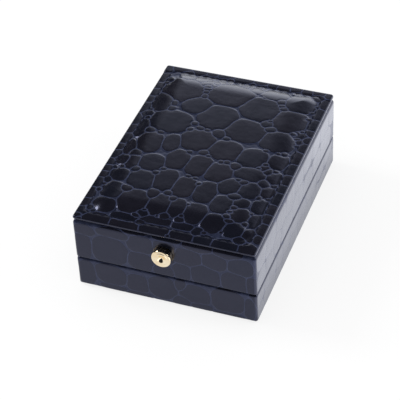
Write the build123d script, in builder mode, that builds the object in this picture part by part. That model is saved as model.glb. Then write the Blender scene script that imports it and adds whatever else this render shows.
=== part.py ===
from build123d import *
from math import asin, degrees, pi, radians, sin, tan
import os

os.makedirs("parts", exist_ok=True)

# An earring box, closed. X runs across the front, +Y to the hinge at the back, +Z up.
# The origin is the centre of the underside. All sizes are in millimetres.

# Outside, read from the photograph
box_width = 65.0
box_depth = 90.0
base_height = 12.55  # table to the base's covered rim
parting_gap = 0.25
lid_height = 16.7  # the lid's covered shell, without its padded panel
corner_radius = 1.0  # upright edges
bottom_bevel = 0.6
shoulder_radius = 0.95
rim_bevel = 0.3  # both rims at the parting line
core_bevel = 0.25  # edges of the mouldings under the leatherette

# Sheet and board stock
sheet_thickness = 0.5  # velour paper under the base
sheet_margin = 3.0
cover_thickness = 0.5  # leatherette
cover_turn_under = 7.0
shell_wall = 1.8
floor_thickness = 1.6
ceiling_thickness = 1.8
card_thickness = 1.0
cavity_radius = 1.2
ring_inner_corner = 0.6  # inside corners of the collar and the liner
fit_clearance = 0.1  # glued and pressed-in pieces, each side
crown_steps = 5  # rings of a shown cushion
foam_steps = 3

# Padded panel on the lid
panel_inset = 0.15
panel_thickness = 1.9
panel_edge_bevel = 0.35
pad_margin = 4.2  # flat stitched border
pad_rise = 2.0
pad_reach = 7.0  # how far in the padding takes to level out
pad_corner = 5.0

# Collar and earring pad
collar_clearance = 0.2
collar_thickness = 2.8
collar_reach = 3.45  # how far the collar stands above the base's rim
collar_bevel = 0.7
foam_height = 6.0
pad_clearance = 0.3
pad_side_height = 3.9
earring_pad_rise = 1.2
earring_pad_reach = 6.0
earring_pad_corner = 2.5
earring_hole_radius = 0.8
earring_hole_pitch = 22.0
earring_hole_depth = 3.5
earring_hole_place = 8.0  # behind the box's middle
slit_length = 14.0
slit_width = 1.2
slit_pitch = 28.0
slit_place = 24.0

# Lining of the lid
liner_thickness = 0.9
liner_gap = 0.4  # above the collar
liner_opening = 12.0  # for the latch
spacer_thickness = 0.9
lid_pad_side = 1.0
lid_pad_rise = 1.5
lid_pad_reach = 8.0
lid_pad_corner = 4.0
lid_pad_clearance = 0.3

# Hinge
hinge_inset = 0.5  # pin axis in from the back face
opening_angle = 98.0
groove_clearance_angle = 3.0
hinge_length = 30.0
knuckle_count = 5
knuckle_gap = 0.2
knuckle_radius = 1.0
leaf_thickness = 0.4
leaf_height = 8.0
leaf_corner = 1.2
pin_radius = 0.5
pin_clearance = 0.05
pin_seat = 0.02
hinge_clearance = 0.2
hinge_rivet_height = 5.0  # above or below the pin
hinge_rivet_pitch = 11.0
hinge_rivet_count = 3
rivet_radius = 0.5
rivet_head_radius = 0.95
rivet_head = 0.22
rivet_bite = 0.45  # depth of the shank in the wall
rivet_sides = 12
rivet_head_taper = 45.0

# Push button
button_radius = 3.5
button_proud = 2.4
button_travel = 1.0
button_clearance = 0.05
button_skin = 0.4
button_hole_clearance = 0.12  # round the button, in the leatherette
rim_width = 0.9
rim_slope = 0.2
rim_step = 0.4
rim_corner = 0.45  # bevel round the rolled edge
dish_depth = 0.75
dome_radius = 1.15
dome_height = 0.5
bushing_wall = 0.75
bushing_flange_radius = 4.75
bushing_flange = 0.5
bushing_ceiling_gap = 0.15  # flange to the ceiling, which sets the height of the button
plunger_flange_radius = 4.2
plunger_flange = 0.55
nub_radius = 1.2

# Latch
spring_thickness = 0.3
spring_width = 6.0
spring_gap = 0.05  # nub to spring
foot_length = 5.5
spring_bend = 0.8
hook_bend = 0.2
hook_gap = 0.1  # hook to the lip above it
hook_ramp = 1.8
hook_clearance = 0.25
spring_rivet_pitch = 3.4
spring_rivet_setback = 3.2  # from the spring's upright arm
strike_thickness = 0.4
strike_width = 8.0
strike_low = 4.2
strike_lip_top = 11.8
strike_bend = 0.5
lip_reach = 1.0
lip_clearance = 0.2  # spring to the strike's lip
strike_rivet_height = 6.2
strike_rivet_pitch = 4.4
latch_slot = 10.0  # opening in the collar
latch_slot_low = 3.6

# Levels and faces that follow
half_width = box_width / 2
half_depth = box_depth / 2
wall = cover_thickness + shell_wall
cavity_width = box_width - 2 * wall
cavity_depth = box_depth - 2 * wall
cavity_front = -cavity_depth / 2
cavity_back = cavity_depth / 2
tray_low = sheet_thickness + cover_thickness
tray_floor = tray_low + floor_thickness
tray_rim = base_height - cover_thickness
lid_low = base_height + parting_gap
lid_top = lid_low + lid_height
shell_rim = lid_low + cover_thickness
shell_top = lid_top - cover_thickness
ceiling = shell_top - ceiling_thickness
hinge_y = half_depth - hinge_inset
hinge_z = base_height + parting_gap / 2
leaf_front = hinge_y - knuckle_radius
leaf_back = leaf_front + leaf_thickness
knuckle_pitch = hinge_length / knuckle_count
collar_top = base_height + collar_reach
button_front = -half_depth - button_proud
button_height = ceiling - bushing_ceiling_gap - bushing_flange_radius


def case_form(inset, low, high, low_bevel, high_bevel):
    """A block inside the box's outline, with bevelled edges at its bottom and top."""
    with BuildPart() as form:
        with BuildSketch(Plane.XY.offset(low)):
            RectangleRounded(box_width - 2 * inset, box_depth - 2 * inset, corner_radius - inset)
        extrude(amount=high - low)
        chamfer(form.faces().sort_by(Axis.Z)[0].edges(), low_bevel)
        if high_bevel:
            chamfer(form.faces().sort_by(Axis.Z)[-1].edges(), high_bevel)
    return form.part


def cushion(width, depth, corner, level, rise, reach, steps, shrink=0.0):
    """Padding that swells in a sine curve from its border to a level middle."""
    with BuildPart() as form:
        for step in range(steps + 1):
            inward = shrink + reach * step / steps
            height = rise * sin(pi / 2 * step / steps)
            with BuildSketch(Plane.XY.offset(level + height)):
                RectangleRounded(width - 2 * inward, depth - 2 * inward, corner)
        loft(ruled=True)
    return form.part


def rivet_row(places, height, face, bite, head, head_radius, into):
    """Rivets along Y: heads stand on a face, shanks go into the wall behind it."""
    with BuildPart() as row:
        for place in places:
            seat = Plane((place, face, height), x_dir=(1, 0, 0), z_dir=(0, into, 0))
            with BuildSketch(seat):
                RegularPolygon(rivet_radius, rivet_sides)
            extrude(amount=bite)
            with BuildSketch(seat):
                RegularPolygon(head_radius, rivet_sides)
            extrude(amount=-head, taper=rivet_head_taper)
    return row.part


def centred_row(count, pitch):
    return [(index - (count - 1) / 2) * pitch for index in range(count)]


def hinge_leaf(own_knuckle, rise):
    """One leaf with its rolled knuckles; rise is 1 for the lid's leaf and -1 for the base's."""
    with BuildPart() as leaf:
        with BuildSketch(Plane.YZ.offset(-hinge_length / 2)):
            with Locations((leaf_front + leaf_thickness / 2, hinge_z + rise * leaf_height / 2)):
                Rectangle(leaf_thickness, leaf_height)
        extrude(amount=hinge_length)
        far_corners = leaf.edges().filter_by(Axis.Y).group_by(Axis.Z)[-1 if rise > 0 else 0]
        fillet(far_corners, leaf_corner)
        for index in range(knuckle_count):
            start = -hinge_length / 2 + index * knuckle_pitch
            if index % 2 != own_knuckle:
                relief = knuckle_radius + hinge_clearance
                with BuildSketch(Plane.YZ.offset(start - knuckle_gap / 2)):
                    with Locations((hinge_y, hinge_z)):
                        Rectangle(2 * relief, 2 * relief)
                extrude(amount=knuckle_pitch + knuckle_gap, mode=Mode.SUBTRACT)
        for index in range(own_knuckle, knuckle_count, 2):
            start = -hinge_length / 2 + index * knuckle_pitch
            with BuildSketch(Plane.YZ.offset(start + knuckle_gap / 2)):
                with Locations((hinge_y, hinge_z)):
                    Circle(knuckle_radius)
            extrude(amount=knuckle_pitch - knuckle_gap)
        bore = pin_radius + (pin_clearance if rise > 0 else pin_seat)
        with BuildSketch(Plane.YZ.offset(-hinge_length / 2)):
            with Locations((hinge_y, hinge_z)):
                Circle(bore)
        extrude(amount=hinge_length, mode=Mode.SUBTRACT)
        with BuildSketch(Plane.XZ.offset(-leaf_back)):
            for place in centred_row(hinge_rivet_count, hinge_rivet_pitch):
                with Locations((place, hinge_z + rise * hinge_rivet_height)):
                    RegularPolygon(rivet_radius, rivet_sides)
        extrude(amount=leaf_thickness, mode=Mode.SUBTRACT)
    return leaf.part


def hinge_recess(rise):
    """The room a leaf and its knuckles need in the back wall, with the holes for its rivets."""
    room = hinge_length + 2 * hinge_clearance
    far = hinge_z + rise * (leaf_height + fit_clearance)
    near = hinge_z - rise * parting_gap
    with BuildPart() as recess:
        with BuildSketch(Plane.YZ.offset(-room / 2)):
            with Locations(((cavity_back - wall + leaf_back) / 2, (far + near) / 2)):
                Rectangle(leaf_back - cavity_back + wall, abs(far - near))
            with Locations(((leaf_front + half_depth + wall) / 2, hinge_z)):
                notch = 2 * (knuckle_radius + hinge_clearance)
                Rectangle(half_depth + wall - leaf_front, notch)
        extrude(amount=room)
        with BuildSketch(Plane.XZ.offset(-leaf_back)):
            for place in centred_row(hinge_rivet_count, hinge_rivet_pitch):
                with Locations((place, hinge_z + rise * hinge_rivet_height)):
                    RegularPolygon(rivet_radius, rivet_sides)
        extrude(amount=-rivet_bite)
    return recess.part


def rear_bevel(rise):
    """The sloping back edge of a rim. Both slopes meet when the lid is fully open."""
    slope = tan(radians(opening_angle / 2 + groove_clearance_angle))
    level = hinge_z + rise * parting_gap / 2
    far = wall
    with BuildPart() as wedge:
        with BuildSketch(Plane.YZ.offset(-box_width)):
            with BuildLine():
                Polyline(
                    (hinge_y, level),
                    (hinge_y + far, level),
                    (hinge_y + far, level + rise * far * slope),
                    close=True,
                )
            make_face()
        extrude(amount=2 * box_width)
    return wedge.part


def frame_ring(width, depth, corner, thickness, low, high):
    """An upright rectangular band."""
    with BuildPart() as band:
        with BuildSketch(Plane.XY.offset(low)):
            RectangleRounded(width, depth, corner)
            inner_width = width - 2 * thickness
            inner_depth = depth - 2 * thickness
            RectangleRounded(inner_width, inner_depth, ring_inner_corner, mode=Mode.SUBTRACT)
        extrude(amount=high - low)
    return band.part


# Base: the moulded tray
strike_places = centred_row(2, strike_rivet_pitch)
with BuildPart() as base_tray:
    add(case_form(cover_thickness, tray_low, tray_rim, core_bevel, core_bevel))
    with BuildSketch(Plane.XY.offset(tray_floor)):
        RectangleRounded(cavity_width, cavity_depth, cavity_radius)
    extrude(amount=tray_rim - tray_floor, mode=Mode.SUBTRACT)
    add(hinge_recess(-1), mode=Mode.SUBTRACT)
    with BuildSketch(Plane.XZ.offset(-cavity_front)):
        for place in strike_places:
            with Locations((place, strike_rivet_height)):
                RegularPolygon(rivet_radius, rivet_sides)
    extrude(amount=rivet_bite, mode=Mode.SUBTRACT)
base_tray.part.label = "base_tray"
export_step(base_tray.part, "parts/base_tray.step")

# Base: leatherette over the walls, the rim and a border of the underside
with BuildPart() as base_cover:
    add(case_form(0, sheet_thickness, base_height, bottom_bevel, rim_bevel))
    add(case_form(cover_thickness, tray_low, tray_rim, core_bevel, core_bevel), mode=Mode.SUBTRACT)
    with BuildSketch(Plane.XY.offset(tray_floor)):
        RectangleRounded(cavity_width, cavity_depth, cavity_radius)
    extrude(amount=base_height - tray_floor, mode=Mode.SUBTRACT)
    with BuildSketch(Plane.XY.offset(sheet_thickness)):
        RectangleRounded(box_width - 2 * cover_turn_under, box_depth - 2 * cover_turn_under, corner_radius)
    extrude(amount=cover_thickness, mode=Mode.SUBTRACT)
    add(rear_bevel(-1), mode=Mode.SUBTRACT)
    add(hinge_recess(-1), mode=Mode.SUBTRACT)
base_cover.part.label = "base_cover"
export_step(base_cover.part, "parts/base_cover.step")

# Base: velour paper glued over the underside
with BuildPart() as underside_sheet:
    with BuildSketch():
        RectangleRounded(box_width - 2 * sheet_margin, box_depth - 2 * sheet_margin, corner_radius)
    extrude(amount=sheet_thickness)
underside_sheet.part.label = "underside_sheet"
export_step(underside_sheet.part, "parts/underside_sheet.step")

# Base: velvet-covered collar that the lid closes over, slotted for the latch
collar_width = cavity_width - 2 * collar_clearance
collar_depth = cavity_depth - 2 * collar_clearance
with BuildPart() as collar:
    add(frame_ring(collar_width, collar_depth, cavity_radius, collar_thickness, tray_floor, collar_top))
    chamfer(collar.faces().sort_by(Axis.Z)[-1].edges(), collar_bevel)
    with BuildSketch(Plane.XZ.offset(collar_depth / 2 - collar_thickness - pad_clearance)):
        with Locations((0, (latch_slot_low + collar_top + collar_reach) / 2)):
            Rectangle(latch_slot, collar_top + collar_reach - latch_slot_low)
    extrude(amount=collar_thickness + 2 * pad_clearance, mode=Mode.SUBTRACT)
collar.part.label = "collar"
export_step(collar.part, "parts/collar.step")

# Base: foam block, card and velvet pad that hold the earrings
insert_width = collar_width - 2 * collar_thickness - 2 * pad_clearance
insert_depth = collar_depth - 2 * collar_thickness - 2 * pad_clearance
foam_top = tray_floor + foam_height
card_top = foam_top + card_thickness
with BuildPart() as foam_block:
    with BuildSketch(Plane.XY.offset(tray_floor)):
        RectangleRounded(insert_width, insert_depth, earring_pad_corner)
    extrude(amount=foam_height)
foam_block.part.label = "foam_block"
export_step(foam_block.part, "parts/foam_block.step")

with BuildPart() as pad_card:
    with BuildSketch(Plane.XY.offset(foam_top)):
        RectangleRounded(insert_width, insert_depth, earring_pad_corner)
    extrude(amount=card_thickness)
pad_card.part.label = "pad_card"
export_step(pad_card.part, "parts/pad_card.step")

pad_shoulder = card_top + pad_side_height
pad_crown = pad_shoulder + earring_pad_rise
with BuildPart() as earring_pad:
    with BuildSketch(Plane.XY.offset(card_top)):
        RectangleRounded(insert_width, insert_depth, earring_pad_corner)
    extrude(amount=pad_side_height)
    pad_curve = (earring_pad_rise, earring_pad_reach, crown_steps)
    add(cushion(insert_width, insert_depth, earring_pad_corner, pad_shoulder, *pad_curve))
    with BuildSketch(Plane.XY.offset(pad_crown)):
        with Locations((0, earring_hole_place)):
            with GridLocations(earring_hole_pitch, 1, 2, 1):
                Circle(earring_hole_radius)
        with Locations((0, slit_place)):
            with GridLocations(slit_pitch, 1, 2, 1):
                SlotOverall(slit_length, slit_width)
    extrude(amount=-earring_hole_depth, mode=Mode.SUBTRACT)
earring_pad.part.label = "earring_pad"
export_step(earring_pad.part, "parts/earring_pad.step")

# Latch: places that the spring, the strike and the button share
strike_face = cavity_front + strike_thickness
plunger_seat = cavity_front + bushing_flange + button_clearance
plunger_back = plunger_seat + plunger_flange
lip_end = strike_face + lip_reach
spring_front = lip_end + lip_clearance
spring_middle = spring_front + spring_thickness / 2
lip_low = strike_lip_top - strike_thickness
hook_level = lip_low - hook_gap - spring_thickness / 2
hook_nose = strike_face + hook_clearance
foot_level = ceiling - spring_thickness / 2

# Base: bent strike plate with its lip, riveted behind the front wall
with BuildPart() as strike_plate:
    with BuildSketch(Plane.YZ.offset(-strike_width / 2)):
        with BuildLine():
            FilletPolyline(
                (cavity_front + strike_thickness / 2, strike_low),
                (cavity_front + strike_thickness / 2, strike_lip_top - strike_thickness / 2),
                (lip_end, strike_lip_top - strike_thickness / 2),
                radius=strike_bend,
            )
        trace(line_width=strike_thickness)
    extrude(amount=strike_width)
    with BuildSketch(Plane.XZ.offset(-strike_face)):
        for place in strike_places:
            with Locations((place, strike_rivet_height)):
                RegularPolygon(rivet_radius, rivet_sides)
    extrude(amount=strike_thickness, mode=Mode.SUBTRACT)
strike_plate.part.label = "strike_plate"
export_step(strike_plate.part, "parts/strike_plate.step")

with BuildPart() as strike_rivets:
    bite = strike_thickness + rivet_bite
    add(rivet_row(strike_places, strike_rivet_height, strike_face, bite, rivet_head, rivet_head_radius, -1))
strike_rivets.part.label = "strike_rivets"
export_step(strike_rivets.part, "parts/strike_rivets.step")

# Hinge
hinge_places = centred_row(hinge_rivet_count, hinge_rivet_pitch)
hinge_bite = leaf_thickness + rivet_bite
with BuildPart() as hinge_base_leaf:
    add(hinge_leaf(0, -1))
hinge_base_leaf.part.label = "hinge_base_leaf"
export_step(hinge_base_leaf.part, "parts/hinge_base_leaf.step")

with BuildPart() as hinge_lid_leaf:
    add(hinge_leaf(1, 1))
hinge_lid_leaf.part.label = "hinge_lid_leaf"
export_step(hinge_lid_leaf.part, "parts/hinge_lid_leaf.step")

with BuildPart() as hinge_pin:
    with BuildSketch(Plane.YZ.offset(-hinge_length / 2)):
        with Locations((hinge_y, hinge_z)):
            Circle(pin_radius)
    extrude(amount=hinge_length)
hinge_pin.part.label = "hinge_pin"
export_step(hinge_pin.part, "parts/hinge_pin.step")

with BuildPart() as hinge_base_rivets:
    low_row = hinge_z - hinge_rivet_height
    add(rivet_row(hinge_places, low_row, leaf_front, hinge_bite, rivet_head, rivet_head_radius, 1))
hinge_base_rivets.part.label = "hinge_base_rivets"
export_step(hinge_base_rivets.part, "parts/hinge_base_rivets.step")

with BuildPart() as hinge_lid_rivets:
    high_row = hinge_z + hinge_rivet_height
    add(rivet_row(hinge_places, high_row, leaf_front, hinge_bite, rivet_head, rivet_head_radius, 1))
hinge_lid_rivets.part.label = "hinge_lid_rivets"
export_step(hinge_lid_rivets.part, "parts/hinge_lid_rivets.step")

# Lid: the moulded shell, bored for the button's bushing and the latch spring's rivets
button_axis = Axis((0, 0, button_height), (0, 1, 0))
bushing_bore = button_radius + button_clearance
bushing_radius = bushing_bore + bushing_wall
spring_rivet_place = spring_middle + spring_rivet_setback
with BuildPart() as lid_shell:
    add(case_form(cover_thickness, shell_rim, shell_top, core_bevel, core_bevel))
    with BuildSketch(Plane.XY.offset(shell_rim)):
        RectangleRounded(cavity_width, cavity_depth, cavity_radius)
    extrude(amount=ceiling - shell_rim, mode=Mode.SUBTRACT)
    add(hinge_recess(1), mode=Mode.SUBTRACT)
    with BuildSketch(Plane.XZ.offset(-cavity_front)):
        with Locations((0, button_height)):
            Circle(bushing_radius)
    extrude(amount=wall, mode=Mode.SUBTRACT)
    with BuildSketch(Plane.XY.offset(ceiling)):
        with Locations((0, spring_rivet_place)):
            with GridLocations(spring_rivet_pitch, 1, 2, 1):
                RegularPolygon(rivet_radius, rivet_sides)
    extrude(amount=rivet_bite, mode=Mode.SUBTRACT)
lid_shell.part.label = "lid_shell"
export_step(lid_shell.part, "parts/lid_shell.step")

# Lid: leatherette over the shell, turned in over its rim
with BuildPart() as lid_cover:
    add(case_form(0, lid_low, lid_top, rim_bevel, 0))
    fillet(lid_cover.faces().sort_by(Axis.Z)[-1].edges(), shoulder_radius)
    add(case_form(cover_thickness, shell_rim, shell_top, core_bevel, core_bevel), mode=Mode.SUBTRACT)
    with BuildSketch(Plane.XY.offset(lid_low)):
        RectangleRounded(cavity_width, cavity_depth, cavity_radius)
    extrude(amount=cover_thickness, mode=Mode.SUBTRACT)
    add(rear_bevel(1), mode=Mode.SUBTRACT)
    add(hinge_recess(1), mode=Mode.SUBTRACT)
    with BuildSketch(Plane.XZ.offset(-cavity_front)):
        with Locations((0, button_height)):
            Circle(button_radius + button_hole_clearance)
    extrude(amount=wall, mode=Mode.SUBTRACT)
lid_cover.part.label = "lid_cover"
export_step(lid_cover.part, "parts/lid_cover.step")

# Lid: the padded panel is a board with foam on it, wrapped in leatherette
panel_top = lid_top + panel_thickness
board_low = lid_top + cover_thickness
board_top = panel_top - cover_thickness
panel_width = box_width - 2 * panel_inset
panel_depth = box_depth - 2 * panel_inset
board_width = panel_width - 2 * cover_thickness
board_depth = panel_depth - 2 * cover_thickness
pad_width = panel_width - 2 * pad_margin
pad_depth = panel_depth - 2 * pad_margin
with BuildPart() as panel_board:
    with BuildSketch(Plane.XY.offset(board_low)):
        RectangleRounded(board_width, board_depth, corner_radius - cover_thickness)
    extrude(amount=board_top - board_low)
panel_board.part.label = "panel_board"
export_step(panel_board.part, "parts/panel_board.step")

with BuildPart() as panel_foam:
    foam_curve = (pad_rise, pad_reach, foam_steps)
    add(cushion(pad_width, pad_depth, pad_corner, board_top, *foam_curve, shrink=cover_thickness))
panel_foam.part.label = "panel_foam"
export_step(panel_foam.part, "parts/panel_foam.step")

with BuildPart() as panel_cover:
    with BuildSketch(Plane.XY.offset(lid_top)):
        RectangleRounded(panel_width, panel_depth, corner_radius)
    extrude(amount=panel_thickness)
    chamfer(panel_cover.faces().sort_by(Axis.Z)[-1].edges(), panel_edge_bevel)
    add(cushion(pad_width, pad_depth, pad_corner, panel_top, pad_rise, pad_reach, crown_steps))
    add(panel_board.part, mode=Mode.SUBTRACT)
    add(panel_foam.part, mode=Mode.SUBTRACT)
    with BuildSketch(Plane.XY.offset(lid_top)):
        bare_width = panel_width - 2 * cover_turn_under
        bare_depth = panel_depth - 2 * cover_turn_under
        RectangleRounded(bare_width, bare_depth, corner_radius)
    extrude(amount=cover_thickness, mode=Mode.SUBTRACT)
panel_cover.part.label = "panel_cover"
export_step(panel_cover.part, "parts/panel_cover.step")

# Lid: satin-covered liner round the walls, open at the latch
liner_low = collar_top + liner_gap
liner_width = cavity_width - 2 * fit_clearance
liner_depth = cavity_depth - 2 * fit_clearance
with BuildPart() as lid_liner:
    add(frame_ring(liner_width, liner_depth, cavity_radius, liner_thickness, liner_low, ceiling))
    with BuildSketch(Plane.XY.offset(liner_low)):
        with Locations((0, cavity_front)):
            Rectangle(liner_opening, 2 * (liner_thickness + fit_clearance + pad_clearance))
    extrude(amount=ceiling - liner_low, mode=Mode.SUBTRACT)
lid_liner.part.label = "lid_liner"
export_step(lid_liner.part, "parts/lid_liner.step")

# Lid: spacer card, pad card and satin pad under the ceiling
spring_room = button_travel + spring_thickness + spring_gap
lid_pad_front = spring_front + spring_room + fit_clearance
lid_pad_back = liner_depth / 2 - liner_thickness - lid_pad_clearance
lid_pad_middle = (lid_pad_front + lid_pad_back) / 2
lid_pad_depth = lid_pad_back - lid_pad_front
lid_pad_width = liner_width - 2 * liner_thickness - 2 * lid_pad_clearance
spacer_low = ceiling - spacer_thickness
lid_card_low = spacer_low - card_thickness
lid_pad_shoulder = lid_card_low - lid_pad_side
foot_back = spring_middle + foot_length
with BuildPart() as lid_spacer:
    with BuildSketch(Plane.XY.offset(spacer_low)):
        with Locations((0, lid_pad_middle)):
            RectangleRounded(lid_pad_width, lid_pad_depth, lid_pad_corner)
        notch_depth = foot_back + lid_pad_clearance - lid_pad_front
        with Locations((0, lid_pad_front)):
            Rectangle(liner_opening, 2 * notch_depth, mode=Mode.SUBTRACT)
    extrude(amount=spacer_thickness)
lid_spacer.part.label = "lid_spacer"
export_step(lid_spacer.part, "parts/lid_spacer.step")

with BuildPart() as lid_pad_card:
    with BuildSketch(Plane.XY.offset(lid_card_low)):
        with Locations((0, lid_pad_middle)):
            RectangleRounded(lid_pad_width, lid_pad_depth, lid_pad_corner)
    extrude(amount=card_thickness)
lid_pad_card.part.label = "lid_pad_card"
export_step(lid_pad_card.part, "parts/lid_pad_card.step")

with BuildPart() as lid_pad:
    with BuildSketch(Plane.XY.offset(lid_pad_shoulder)):
        with Locations((0, lid_pad_middle)):
            RectangleRounded(lid_pad_width, lid_pad_depth, lid_pad_corner)
    extrude(amount=lid_pad_side)
    lid_pad_curve = (lid_pad_rise, lid_pad_reach, crown_steps)
    swell = cushion(lid_pad_width, lid_pad_depth, lid_pad_corner, 0, *lid_pad_curve)
    add(swell.mirror(Plane.XY).moved(Location((0, lid_pad_middle, lid_pad_shoulder))))
lid_pad.part.label = "lid_pad"
export_step(lid_pad.part, "parts/lid_pad.step")

# Lid: bushing that guides the button
with BuildPart() as button_bushing:
    with BuildSketch(Plane.XY.offset(button_height)):
        with BuildLine():
            Polyline(
                (bushing_bore, -half_depth + cover_thickness),
                (bushing_radius, -half_depth + cover_thickness),
                (bushing_radius, cavity_front),
                (bushing_flange_radius, cavity_front),
                (bushing_flange_radius, cavity_front + bushing_flange),
                (bushing_bore, cavity_front + bushing_flange),
                close=True,
            )
        make_face()
    revolve(axis=button_axis)
button_bushing.part.label = "button_bushing"
export_step(button_bushing.part, "parts/button_bushing.step")

# Lid: latch spring, bent from one strip, from its foot on the ceiling to its hook
with BuildPart() as latch_spring:
    with BuildSketch(Plane.YZ.offset(-spring_width / 2)):
        with BuildLine():
            FilletPolyline(
                (foot_back, foot_level),
                (spring_middle, foot_level),
                (spring_middle, hook_level),
                (hook_nose + spring_thickness / 2, hook_level),
                (spring_middle - spring_thickness, hook_level - hook_ramp),
                radius=(spring_bend, hook_bend, hook_bend),
            )
        trace(line_width=spring_thickness)
    extrude(amount=spring_width)
    with BuildSketch(Plane.XY.offset(ceiling)):
        with Locations((0, spring_rivet_place)):
            with GridLocations(spring_rivet_pitch, 1, 2, 1):
                RegularPolygon(rivet_radius, rivet_sides)
    extrude(amount=-spring_thickness, mode=Mode.SUBTRACT)
latch_spring.part.label = "latch_spring"
export_step(latch_spring.part, "parts/latch_spring.step")

with BuildPart() as latch_rivets:
    rivet_seat = ceiling - spring_thickness
    with BuildSketch(Plane.XY.offset(rivet_seat)):
        with Locations((0, spring_rivet_place)):
            with GridLocations(spring_rivet_pitch, 1, 2, 1):
                RegularPolygon(rivet_radius, rivet_sides)
    extrude(amount=spring_thickness + rivet_bite)
    with BuildSketch(Plane.XY.offset(rivet_seat)):
        with Locations((0, spring_rivet_place)):
            with GridLocations(spring_rivet_pitch, 1, 2, 1):
                RegularPolygon(rivet_head_radius, rivet_sides)
    extrude(amount=-rivet_head, taper=rivet_head_taper)
latch_rivets.part.label = "latch_rivets"
export_step(latch_rivets.part, "parts/latch_rivets.step")

# Push button: pressed cap with a rolled rim, a dish and a low dome
rim_inside = button_radius - rim_width
dish_floor = button_front + dish_depth
cap_inside = dish_floor + button_skin
cap_end = plunger_seat
dome_curve = (dome_radius**2 + dome_height**2) / (2 * dome_height)
dome_angle = degrees(asin(dome_radius / dome_curve))
with BuildPart() as button_cap:
    with BuildSketch(Plane.XY.offset(button_height)):
        with BuildLine():
            JernArc((0, dish_floor - dome_height), (1, 0), dome_curve, dome_angle)
            Line((dome_radius, dish_floor), (rim_inside, button_front + rim_step))
            Line((rim_inside, button_front + rim_step), (rim_inside + rim_slope, button_front))
            Polyline(
                (rim_inside + rim_slope, button_front),
                (button_radius - rim_corner, button_front),
                (button_radius, button_front + rim_corner),
                (button_radius, cap_end),
                (button_radius - button_skin, cap_end),
                (button_radius - button_skin, cap_inside),
                (0, cap_inside),
                (0, dish_floor - dome_height),
            )
        make_face()
    revolve(axis=button_axis)
button_cap.part.label = "button_cap"
export_step(button_cap.part, "parts/button_cap.step")

# Push button: plunger with the flange that keeps it in and the nub that bends the spring
core_radius = button_radius - button_skin
nub_end = spring_front - spring_gap
with BuildPart() as button_plunger:
    with BuildSketch(Plane.XY.offset(button_height)):
        with BuildLine():
            Polyline(
                (0, cap_inside),
                (core_radius, cap_inside),
                (core_radius, plunger_seat),
                (plunger_flange_radius, plunger_seat),
                (plunger_flange_radius, plunger_back),
                (nub_radius, plunger_back),
                (nub_radius, nub_end),
                (0, nub_end),
                close=True,
            )
        make_face()
    revolve(axis=button_axis)
button_plunger.part.label = "button_plunger"
export_step(button_plunger.part, "parts/button_plunger.step")

print("Closed height", round(panel_top + pad_rise, 2))
print("Overall depth with button and hinge", round(hinge_y + knuckle_radius - button_front, 2))
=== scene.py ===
import math
import random

import bpy
import numpy as np
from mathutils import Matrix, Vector


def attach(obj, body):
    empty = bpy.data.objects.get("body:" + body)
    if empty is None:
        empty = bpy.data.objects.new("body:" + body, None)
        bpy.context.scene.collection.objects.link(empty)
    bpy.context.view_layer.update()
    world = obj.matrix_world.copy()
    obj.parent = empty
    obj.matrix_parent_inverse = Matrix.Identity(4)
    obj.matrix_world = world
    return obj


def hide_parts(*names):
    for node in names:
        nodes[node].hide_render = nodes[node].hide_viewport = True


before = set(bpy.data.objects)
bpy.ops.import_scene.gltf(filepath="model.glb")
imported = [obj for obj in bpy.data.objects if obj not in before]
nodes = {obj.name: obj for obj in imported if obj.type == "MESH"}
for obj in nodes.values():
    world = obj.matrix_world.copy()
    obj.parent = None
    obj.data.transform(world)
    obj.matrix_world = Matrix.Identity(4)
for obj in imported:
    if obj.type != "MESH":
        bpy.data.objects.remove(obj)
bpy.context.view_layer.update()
mm = 0.001
random.seed(7)

for node in nodes.values():
    node.data.materials.clear()


# small helpers

def clearSelection():
    if bpy.context.object and bpy.context.object.mode != "OBJECT":
        bpy.ops.object.mode_set(mode="OBJECT")
    bpy.ops.object.select_all(action="DESELECT")


def makeActive(piece):
    clearSelection()
    piece.select_set(True)
    bpy.context.view_layer.objects.active = piece


def named(name):
    piece = bpy.context.object
    piece.name = name
    piece.data.name = name
    return piece


def placeInMesh(piece):
    makeActive(piece)
    bpy.ops.object.transform_apply(location=True, rotation=True, scale=True)


def smooth(piece, degrees=40):
    makeActive(piece)
    bpy.ops.object.shade_smooth_by_angle(angle=math.radians(degrees))


def startEditing(piece, action="SELECT"):
    makeActive(piece)
    bpy.ops.object.mode_set(mode="EDIT")
    bpy.ops.mesh.select_all(action=action)


def stopEditing():
    bpy.ops.object.mode_set(mode="OBJECT")


def deleteChosen(piece, parts, chosen, kind, selectMode):
    # deletes the faces or edges that are chosen, and stays in edit mode
    startEditing(piece, "DESELECT")
    stopEditing()
    parts.foreach_set("select", chosen)
    bpy.ops.object.mode_set(mode="EDIT")
    bpy.context.tool_settings.mesh_select_mode = selectMode
    bpy.ops.mesh.delete(type=kind)


def closeSeams(piece, gap=2e-6):
    startEditing(piece)
    bpy.ops.mesh.remove_doubles(threshold=gap)
    bpy.ops.mesh.normals_make_consistent(inside=False)
    stopEditing()


def turnFacesOut(piece, lookAt, outward):
    # flips a sheet whose face nearest to a point doesn't look outward
    co = points(piece)
    at = int(np.argmin(((co - lookAt) ** 2).sum(1)))
    if normals(piece)[at] @ np.array(outward) < 0:
        startEditing(piece)
        bpy.ops.mesh.flip_normals()
        stopEditing()


def points(piece):
    co = np.zeros(len(piece.data.vertices) * 3)
    piece.data.vertices.foreach_get("co", co)
    return co.reshape(-1, 3)


def setPoints(piece, co):
    piece.data.vertices.foreach_set("co", np.asarray(co, np.float32).ravel())
    piece.data.update()


def normals(piece):
    out = np.zeros(len(piece.data.vertices) * 3)
    piece.data.vertex_normals.foreach_get("vector", out)
    return out.reshape(-1, 3)


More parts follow.
